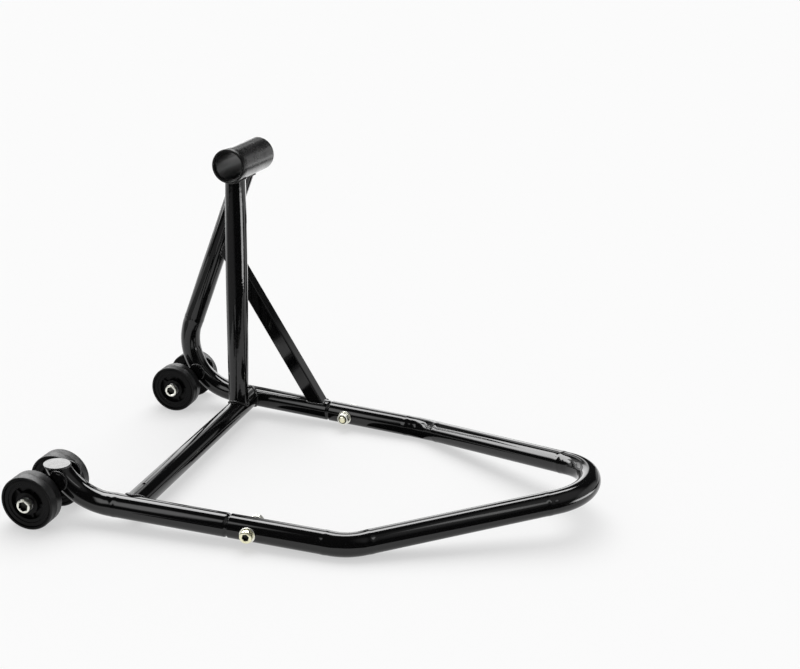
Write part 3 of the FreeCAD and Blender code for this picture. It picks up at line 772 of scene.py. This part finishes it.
def socket_screw(name, node, head, height, socket, shank, length, origin, direction, material, spin):
    """A socket-head screw. Its seat is at the origin, its head behind it and its shank along +X."""
    depth = height * 0.6
    corner = 0.9 * MM
    profile = [(-height + depth + 0.8 * MM, 0.3 * MM), (-height + depth, socket / 2 * 0.98, "hex"),
               (-height + 0.35 * MM, socket / 2, "hex"), (-height, socket / 2 + 0.35 * MM, "hex"),
               (-height, head / 2 - corner), (-height + 0.3 * MM, head / 2 - 0.28 * corner),
               (-height + corner, head / 2), (-0.3 * MM, head / 2), (0, head / 2 - 0.3 * MM),
               (0, shank / 2), (length - 9 * MM, shank / 2)]
    profile += threads(length - 9 * MM, length - 1.2 * MM, shank / 2)
    profile += [(length - 1 * MM, shank / 2 - 0.2 * MM), (length, shank / 2 - 0.9 * MM), (length, 0.3 * MM)]
    mesh = lathe(profile)
    # Faces inside the hex socket take the dark zinc: painted shade in the recess.
    for face in mesh.faces:
        middle = face.calc_center_median()
        inside = math.hypot(middle.y, middle.z) < socket * 0.58
        if inside and 0.3 * MM - height < middle.x < depth + 1 * MM - height:
            face.material_index = 1
    piece = turned_piece(name, mesh, origin, direction, material=material, slot="zinc_plate",
                         replaces=[node], bevel=0.18 * MM, spin=spin)
    piece.data.materials.append(zinc_painted_shade)
    return piece


def hex_nut(name, node, flats, height, hole, origin, direction, spin):
    """A hexagon nut that stands on its origin."""
    half = flats / 2
    corner = 0.9 * MM
    profile = [(0.1 * MM, half * 0.985), (corner, half, "hex"), (height - corner, half, "hex"),
               (height, half * 0.985), (height, half * 0.8), (height - 0.5 * MM, half * 0.77),
               (height - 0.5 * MM, hole / 2 + 0.5 * MM), (height - 1 * MM, hole / 2 + 0.06 * MM),
               (0.6 * MM, hole / 2 + 0.06 * MM), (0.1 * MM, hole / 2 + 0.6 * MM)]
    mesh = lathe(profile, closed=True)
    # Faces of the recessed top round the hole take the dark zinc: painted shade in the recess.
    for face in mesh.faces:
        middle = face.calc_center_median()
        shaded_recess = middle.x > height - 0.9 * MM and math.hypot(middle.y, middle.z) < half * 0.79
        face.material_index = int(shaded_recess)
    piece = turned_piece(name, mesh, origin, direction, material=zinc_clear, slot="zinc_plate",
                         replaces=[node], bevel=0.15 * MM, spin=spin, crease=28)
    piece.data.materials.append(zinc_painted_shade)
    return piece


def build_splices():
    """The cross bolts that hold the handle on the legs."""
    washer = 1.6 * MM
    for side, word in SIDES:
        centre = on_leg(SPLICE_RUN + SPLICE_BOLT_RUN, side)
        outwards = Vector((TOE, side, 0)).normalized()
        seat = centre + outwards * (TUBE_RADIUS + washer)
        nut_seat = centre - outwards * (TUBE_RADIUS + washer)
        length = 2 * TUBE_RADIUS + 2 * washer + 10 * MM
        socket_screw("splice_screw_" + word, "splice_bolt_" + word, 16 * MM, 6 * MM, 8 * MM, 10 * MM, length,
                     seat, -outwards, zinc_yellow, math.radians(14))
        hex_nut("splice_hex_" + word, "splice_nut_" + word, 16 * MM, 8 * MM, 10 * MM, nut_seat, -outwards,
                math.radians(20))
        for index, direction in enumerate((outwards, -outwards)):
            hole, rim, seat_gap = 5.2 * MM, 10 * MM, 0.05 * MM
            mesh = lathe([(seat_gap, hole), (washer, hole), (washer, rim), (seat_gap, rim)], closed=True)
            name = "splice_washer_%s_%s" % (word, ("head", "nut")[index])
            turned_piece(name, mesh, centre + direction * TUBE_RADIUS, direction,
                         material=zinc_clear, slot="zinc_plate", replaces=["splice_washers_" + word],
                         bevel=0.25 * MM)


build_splices()

# ---------------------------------------------------------------- receiver and liner


def build_receiver():
    """The receiver tube with its turned groove, and the liner a little inside its mouths."""
    radius, length, bore = receiver_radius, receiver_length, 21 * MM
    edge = 0.8 * MM
    groove = 10 * MM
    profile = [(0, bore + 0.4 * MM), (0, radius - edge), (edge * 0.3, radius - edge * 0.3), (edge, radius),
               (groove, radius), (groove, radius - 0.4 * MM), (groove + 1.5 * MM, radius - 0.4 * MM),
               (groove + 1.5 * MM, radius), (length - edge, radius), (length, radius - edge),
               (length, bore + 0.4 * MM), (length - 0.4 * MM, bore), (0.4 * MM, bore)]
    mouth = Vector((mast_x, receiver_low.y, receiver_centre.z))
    turned_piece("receiver_barrel", lathe(profile, True), mouth, Y_AXIS, material=satin,
                 slot="satin_black_paint", replaces=["receiver"], bevel=0.12 * MM)
    inset = 3 * MM
    length -= 2 * inset
    outer, inner, lip = bore - 0.03 * MM, 19 * MM, 0.9 * MM
    profile = [(0, inner + lip), (0, outer - 0.3 * MM), (0.3 * MM, outer), (length - 0.3 * MM, outer),
               (length, outer - 0.3 * MM), (length, inner + lip), (length - lip, inner), (lip, inner)]
    turned_piece("receiver_sleeve", lathe(profile, True), mouth + Y_AXIS * inset, Y_AXIS,
                 material=liner_dark, slot="liner_plastic", replaces=["receiver_liner"], bevel=0.15 * MM)


build_receiver()

# ---------------------------------------------------------------- wheels and axles

WHEEL = {
    "width": 24 * MM, "radius": 35 * MM, "round": 1.8 * MM, "bore": 9.08 * MM,
    "face": 1.2 * MM, "land": 31.5 * MM, "groove": 30.3 * MM, "groove_floor": 2.6 * MM,
    "ridge": 26 * MM, "pocket": 21.5 * MM, "floor": 8 * MM, "hub": 14.5 * MM, "hub_face": 1 * MM,
    "ribs": 5, "rib_half": 1.5 * MM, "rib_top": 5.5 * MM,
}


def wheel_angles(radius):
    """Column angles at a radius. A rib keeps its thickness, so it spans wider angles nearer the hub."""
    spread = math.tau / WHEEL["ribs"]
    half = math.asin(WHEEL["rib_half"] / radius)
    plain = 14
    angles = []
    for rib in range(WHEEL["ribs"]):
        start = rib * spread
        angles += [(start - half, True), (start, True), (start + half, True), (start + half, False)]
        room = spread - 2 * half
        angles += [(start + half + room * index / plain, False) for index in range(1, plain)]
        angles.append((start + spread - half, False))
    return angles


def wheel_profile():
    """One face from the bore out to the middle of the tread: (distance from the middle, radius, rib top)."""
    size = WHEEL
    half = size["width"] / 2
    face = half - size["face"]
    rib = half - size["rib_top"]
    bottom = half - size["floor"]
    deep = half - size["groove_floor"]
    hub_face = half - size["hub_face"]
    points = [(hub_face - 0.4 * MM, size["bore"], None), (hub_face, size["bore"] + 0.4 * MM, None),
              (hub_face, size["hub"], None), (bottom, size["hub"] + 0.3 * MM, rib),
              (bottom, size["pocket"] - 0.3 * MM, rib), (face - 0.9 * MM, size["pocket"], None),
              (face - 0.9 * MM, size["ridge"] - 0.4 * MM, None), (face, size["ridge"], None),
              (face, size["groove"], None), (deep, size["groove"] + 0.2 * MM, None),
              (deep, size["land"] - 0.2 * MM, None), (half, size["land"], None)]
    steps = 6
    for index in range(steps + 1):
        angle = math.pi / 2 * index / steps
        points.append((half - size["round"] * (1 - math.cos(angle)),
                       size["radius"] - size["round"] * (1 - math.sin(angle)), None))
    points.append((0.15 * MM, size["radius"], None))
    points.append((0.0, size["radius"] + 0.12 * MM, None))
    return points


def wheel_mesh():
    """A moulded wheel about +X, with ribs in both faces and a fine parting line round the tread."""
    half_profile = wheel_profile()
    profile = [(-run, radius, None if rib is None else -rib) for run, radius, rib in half_profile]
    profile += list(reversed(half_profile[:-1]))
    rings = []
    for run, radius, rib in profile:
        ring = []
        for angle, on_rib in wheel_angles(radius):
            place = rib if rib is not None and on_rib else run
            ring.append(Vector((place, radius * math.cos(angle), radius * math.sin(angle))))
        rings.append(ring)
    mesh = bmesh.new()
    join_rings(mesh, rings, closed=True)
    bmesh.ops.remove_doubles(mesh, verts=mesh.verts, dist=1e-6)
    bmesh.ops.dissolve_degenerate(mesh, edges=mesh.edges, dist=1e-7)
    return mesh


def build_wheels():
    for side, word in SIDES:
        for index, half_word in enumerate(("left", "right")):
            node = "wheel_%s_%s" % (word, half_word)
            low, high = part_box(node)
            direction = Vector((0, (-1, 1)[index], 0))
            mesh = wheel_mesh()
            for face in mesh.faces:
                middle = face.calc_center_median()
                face.material_index = int(math.hypot(middle.y, middle.z) < WHEEL["land"] + 1 * MM)
            piece = turned_piece(node + "_moulding", mesh, (low + high) / 2, direction, body=node,
                                 material=nylon, slot="wheel_plastic", replaces=[node], bevel=0.35 * MM,
                                 spin=math.radians(35 + 40 * (side + index)), crease=40)
            piece.data.materials.append(nylon_face)


build_wheels()


def build_axles():
    """The axle bolts and nuts."""
    for _, word in SIDES:
        low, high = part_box("axle_bolt_" + word)
        head_height, head, socket, shank = 7 * MM, 18 * MM, 11.4 * MM, 12 * MM
        seat = Vector((wheel_axis_x, low.y + head_height, wheel_axis_z))
        length = high.y - seat.y
        socket_screw("axle_screw_" + word, "axle_bolt_" + word, head, head_height, socket, shank, length,
                     seat, Y_AXIS, zinc_clear, math.radians(10))
        nut_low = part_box("axle_nut_" + word)[0]
        hex_nut("axle_hex_" + word, "axle_nut_" + word, 18 * MM, 6 * MM, 12 * MM,
                Vector((wheel_axis_x, nut_low.y, wheel_axis_z)), Y_AXIS, math.radians(8))


build_axles()

# ---------------------------------------------------------------- finishes of the carried-over nodes

NODE_FINISH = {
    "cross_tube": gloss, "post": gloss, "brace": gloss, "near_leg_cap": cap_gloss,
    "axle_bracket_near": gloss, "axle_bracket_far": gloss,
    "axle_sleeve_near": gloss, "axle_sleeve_far": gloss,
    "thrust_washers_near": zinc_clear, "thrust_washers_far": zinc_clear,
    "wheel_bush_near_left": steel, "wheel_bush_near_right": steel,
    "wheel_bush_far_left": steel, "wheel_bush_far_right": steel,
}
for node, material in NODE_FINISH.items():
    cad[node].material_slots[0].material = material

# ---------------------------------------------------------------- studio


def show_only(item, **rays):
    """Keeps a stage piece for some kinds of ray."""
    for kind in ("camera", "diffuse", "glossy", "transmission", "shadow"):
        setattr(item, "visible_" + kind, rays.get(kind, False))


def stage_item(name, data, material):
    """Stands a mesh in the studio, round the object."""
    data.materials.append(material)
    item = bpy.data.objects.new(name, data)
    bpy.context.scene.collection.objects.link(item)
    return item


def stage_sheet(name, corners, material):
    """A flat sheet with the given corners."""
    data = bpy.data.meshes.new(name)
    data.from_pydata(corners, [], [tuple(range(len(corners)))])
    return stage_item(name, data, material)


def plain_surface(name, colour, rough=1.0):
    material = bpy.data.materials.new(name)
    material.use_nodes = True
    surface = material.node_tree.nodes["Principled BSDF"]
    surface.inputs["Base Color"].default_value = (*colour, 1)
    surface.inputs["Roughness"].default_value = rough
    surface.inputs["Specular IOR Level"].default_value = 0.0
    return material


SMOOTH = "SMOOTHSTEP"
PAPER = 0.965
FILL = 0.42
SHADOW_LIFT = 0.55


def seen_directly(tree):
    """1 for rays that show the background: from the camera, a mirror-like surface or a clear one."""
    rays = tree.nodes.new("ShaderNodeLightPath")
    seen = rays.outputs["Is Camera Ray"]
    for kind in ("Is Glossy Ray", "Is Transmission Ray"):
        seen = maths(tree, "MAXIMUM", seen, rays.outputs[kind])
    return seen


def build_floor():
    """White paper. Part of its white is its own, so that its shadows stay as light as in a bright studio."""
    reach = 40.0
    corners = [(-reach, -reach, 0), (reach, -reach, 0), (reach, reach, 0), (-reach, reach, 0)]
    paper = plain_surface("white_paper", (PAPER, PAPER, PAPER))
    tree = paper.node_tree
    glow = tree.nodes.new("ShaderNodeEmission")
    glow.inputs["Strength"].default_value = PAPER
    mix = tree.nodes.new("ShaderNodeMixShader")
    tree.links.new(maths(tree, "MULTIPLY", seen_directly(tree), SHADOW_LIFT), mix.inputs[0])
    tree.links.new(tree.nodes["Principled BSDF"].outputs[0], mix.inputs[1])
    tree.links.new(glow.outputs[0], mix.inputs[2])
    tree.links.new(mix.outputs[0], tree.nodes["Material Output"].inputs["Surface"])
    stage_sheet("floor", corners, paper)


def towards(azimuth, elevation):
    """Unit vector at an azimuth from +Y towards +X and an elevation, in degrees."""
    turn, lift = math.radians(azimuth), math.radians(elevation)
    return Vector((math.sin(turn) * math.cos(lift), math.cos(turn) * math.cos(lift), math.sin(lift)))


def glowing(name):
    """A material that only glows. Returns it with its tree and the glow's strength input."""
    material = bpy.data.materials.new(name)
    material.use_nodes = True
    tree = material.node_tree
    tree.nodes.clear()
    glow = tree.nodes.new("ShaderNodeEmission")
    output = tree.nodes.new("ShaderNodeOutputMaterial")
    tree.links.new(glow.outputs[0], output.inputs["Surface"])
    return material, tree, glow.inputs["Strength"]


def light_material(name, radiance, fade):
    """A panel that glows evenly and fades out towards its edges. fade is a share of its half size."""
    material, tree, strength = glowing(name)
    place = tree.nodes.new("ShaderNodeTexCoord")
    spread = tree.nodes.new("ShaderNodeSeparateXYZ")
    tree.links.new(place.outputs["Generated"], spread.inputs[0])
    total = radiance
    for axis in ("X", "Y"):
        size = maths(tree, "ABSOLUTE", maths(tree, "MULTIPLY_ADD", spread.outputs[axis], 2.0, -1.0))
        total = maths(tree, "MULTIPLY", map_range(tree, size, 1.0 - fade, 1.0, 1.0, 0.0, SMOOTH), total)
    tree.links.new(total, strength)
    return material


def panel(name, azimuth, elevation, distance, width, height, roll, tilt_up, tilt_side, radiance, fade):
    """A soft light seen only in reflections, facing the stand but for its two tilts."""
    ray = towards(azimuth, elevation)
    right = UP.cross(ray).normalized()
    up = ray.cross(right)
    lean_side, lean_up = math.tan(math.radians(tilt_side)), math.tan(math.radians(tilt_up))
    normal = (ray + right * lean_side + up * lean_up).normalized()
    first = up.cross(normal).normalized()
    second = normal.cross(first)
    angle = math.radians(roll)
    along = first * math.cos(angle) + second * math.sin(angle)
    across = second * math.cos(angle) - first * math.sin(angle)
    corners = [(-width / 2, -height / 2, 0), (width / 2, -height / 2, 0), (width / 2, height / 2, 0),
               (-width / 2, height / 2, 0)]
    item = stage_sheet(name, corners, light_material(name, radiance, fade))
    turn = Matrix((along, across, normal)).transposed().to_4x4()
    item.matrix_world = Matrix.Translation(ray * distance) @ turn
    show_only(item, glossy=True)


# Soft lights seen only in reflections, in metres and degrees from the origin: name, azimuth, elevation,
# distance, width, height, roll, tilt up, tilt sideways, radiance, fade.
PANELS = [
    ("light_overhead", -10.0, 64.8, 1.44, 2.97, 0.558, 6.9, -35.7, 53.9, 10.0, 0.2),
    ("light_back_left", -38.0, 19.0, 1.03, 0.36, 0.62, 0.0, 0.0, 18.0, 3.0, 0.35),
    ("light_back", -8.5, 15.2, 1.26, 0.72, 0.6, 0.0, 0.0, 0.0, 3.5, 0.35),
    ("light_back_high", -19.0, 36.7, 2.68, 0.6, 0.8, 0.0, 0.0, 0.0, 1.6, 0.4),
    ("light_end_plate", -51.0, 26.6, 1.4, 0.36, 0.32, 0.0, 0.0, 0.0, 5.6, 0.3),
    ("light_front_right", 135.7, 47.1, 2.39, 0.6, 1.7, 26.0, -4.7, 50.0, 2.6, 0.6),
    ("light_front_left", -151.4, 37.2, 1.57, 0.5, 1.3, 0.0, 0.0, 0.0, 2.3, 0.6),
]


# Glow of the studio's walls and floor: azimuth, elevation, even out to, gone at (degrees), strength.
WALL_BASE = 0.03
WALL_LOBES = [(-58, 6, 14, 40, 1.7), (-24, 14, 4, 20, 0.3), (72, 2, 18, 34, 0.7), (30, 3, 9, 14, 0.5),
              (110, 45, 12, 40, 0.4)]
GROUND_BASE = 0.02
GROUND_LOBES = [(-55, 0, 22, 40, 1.1), (-10, 0, 9, 16, 1.5), (44, 0, 8, 16, 1.2), (90, 0, 7, 18, 8.0),
                (-125, 0, 15, 50, 0.3)]


def glow_material(name, base, lobes):
    """A surface that glows by its direction from the origin."""
    material, tree, strength = glowing(name)
    place = tree.nodes.new("ShaderNodeTexCoord")
    unit = tree.nodes.new("ShaderNodeVectorMath")
    unit.operation = "NORMALIZE"
    tree.links.new(place.outputs["Object"], unit.inputs[0])
    total = base
    for azimuth, elevation, inner, outer, peak in lobes:
        share = tree.nodes.new("ShaderNodeVectorMath")
        share.operation = "DOT_PRODUCT"
        share.inputs[1].default_value = towards(azimuth, elevation)
        tree.links.new(unit.outputs[0], share.inputs[0])
        edge, flat = math.cos(math.radians(outer)), math.cos(math.radians(inner))
        lobe = map_range(tree, share.outputs["Value"], edge, flat, 0.0, peak, SMOOTH)
        total = maths(tree, "ADD", total, lobe)
    tree.links.new(total, strength)
    return material


def reflected_only(name, mesh, material):
    """A bmesh that stands in the studio for reflections alone."""
    data = bpy.data.meshes.new(name)
    mesh.to_mesh(data)
    mesh.free()
    show_only(stage_item(name, data, material), glossy=True)


ROOM_RADIUS = 3.0
GROUND_START = 0.55
GROUND_END = 1.6
GROUND_HEIGHT = 1.2 * MM


def build_studio_shell():
    """A dome and a ring on the floor, seen only in reflections: a dark room with a few pale walls."""
    mesh = bmesh.new()
    bmesh.ops.create_uvsphere(mesh, u_segments=48, v_segments=24, radius=ROOM_RADIUS)
    cut_off(mesh, UP * 2 * MM, -UP)
    reflected_only("studio_walls", mesh, glow_material("studio_walls", WALL_BASE, WALL_LOBES))
    mesh = bmesh.new()
    edges = [oval_section(reach, reach, X_AXIS, Y_AXIS, 64) for reach in (GROUND_START, GROUND_END)]
    join_rings(mesh, [[point + UP * GROUND_HEIGHT for point in edge] for edge in edges])
    reflected_only("studio_ground", mesh, glow_material("studio_ground", GROUND_BASE, GROUND_LOBES))


def build_flags():
    """Black cards lying on the paper, seen only in reflections: inside the stand and out in front of it."""
    black = plain_surface("black_card", (0.02, 0.02, 0.02))
    height = 0.6 * MM
    near = on_leg(MAST_RUN, -1)
    bend = Vector((wheel_axis_x + FLOOR_BEND_RUN, -(LEG_SPACING / 2 - TOE * FLOOR_BEND_RUN), 0))
    inset = 38 * MM
    screw_x = on_leg(SPLICE_RUN + SPLICE_BOLT_RUN, 1).x
    inner_y = -near.y - inset * 0.6
    room = 30 * MM
    for word, start, end in (("back", mast_x + inset, screw_x - room), ("front", screw_x + room, bend.x)):
        corners = [(start, 0), (end, 0), (end, inner_y), (start, inner_y)]
        card = stage_sheet("card_inside_" + word, [(x, y, height) for x, y in corners], black)
        show_only(card, glossy=True)
    front = 95 * MM
    arm = Vector((math.cos(ARM_ANGLE), math.sin(ARM_ANGLE)))
    out = Vector((math.sin(ARM_ANGLE), -math.cos(ARM_ANGLE)))
    knee = Vector((bend.x, bend.y)) + out * front
    tip = knee + arm * 0.4
    wheels_end = wheel_axis_x + 90 * MM
    outline = [(wheels_end, near.y - front), (knee.x - 40 * MM, near.y - front), (knee.x, knee.y),
               (tip.x, tip.y), (2.2, -0.6), (2.2, -3.0), (-3.0, -3.0), (-3.0, -0.75), (wheels_end, -0.75)]
    show_only(stage_sheet("card_front", [(x, y, height) for x, y in outline], black), glossy=True)


def build_sky():
    """Even fill for matt surfaces and a white backdrop above the paper."""
    world = bpy.data.worlds.new("studio")
    world.use_nodes = True
    bpy.context.scene.world = world
    tree = world.node_tree
    back = tree.nodes["Background"]
    back.inputs["Color"].default_value = (1, 1, 1, 1)
    tree.links.new(map_range(tree, seen_directly(tree), 0, 1, FILL, PAPER), back.inputs["Strength"])


KEY_SPREAD = 58
KEY_AZIMUTH = -14
KEY_ELEVATION = 62


def build_key():
    """A wide soft key from behind, high up, that lays the shadows on the paper."""
    lamp = bpy.data.lights.new("key", "SUN")
    lamp.angle = math.radians(KEY_SPREAD)
    lamp.energy = (1.0 - FILL) * math.pi / math.sin(math.radians(KEY_ELEVATION))
    item = bpy.data.objects.new("key", lamp)
    item.matrix_world = towards(KEY_AZIMUTH, KEY_ELEVATION).to_track_quat("Z", "Y").to_matrix().to_4x4()
    item.visible_glossy = False
    bpy.context.scene.collection.objects.link(item)


CAMERA_PLACE = Vector((443.636, -1363.099, 704.432)) * MM
CAMERA_TURN = (14.857, 18.887, 1.827)
CAMERA_LENS = 52.653


def build_camera():
    """The camera of the photo: its turn is yaw, pitch down and roll, in degrees."""
    lens = bpy.data.cameras.new("camera")
    lens.sensor_width = 36.0
    lens.lens = CAMERA_LENS
    lens.clip_start = 0.01
    item = bpy.data.objects.new("camera", lens)
    yaw, pitch, roll = (math.radians(angle) for angle in CAMERA_TURN)
    turn = Matrix.Rotation(yaw, 4, "Z")
    turn @= Matrix.Rotation(math.pi / 2 - pitch, 4, "X") @ Matrix.Rotation(roll, 4, "Z")
    item.matrix_world = Matrix.Translation(CAMERA_PLACE) @ turn
    bpy.context.scene.collection.objects.link(item)
    bpy.context.scene.camera = item


build_floor()
for settings in PANELS:
    panel(*settings)
build_studio_shell()
build_flags()
build_sky()
build_key()
build_camera()
bpy.context.scene.view_settings.view_transform = "Standard"
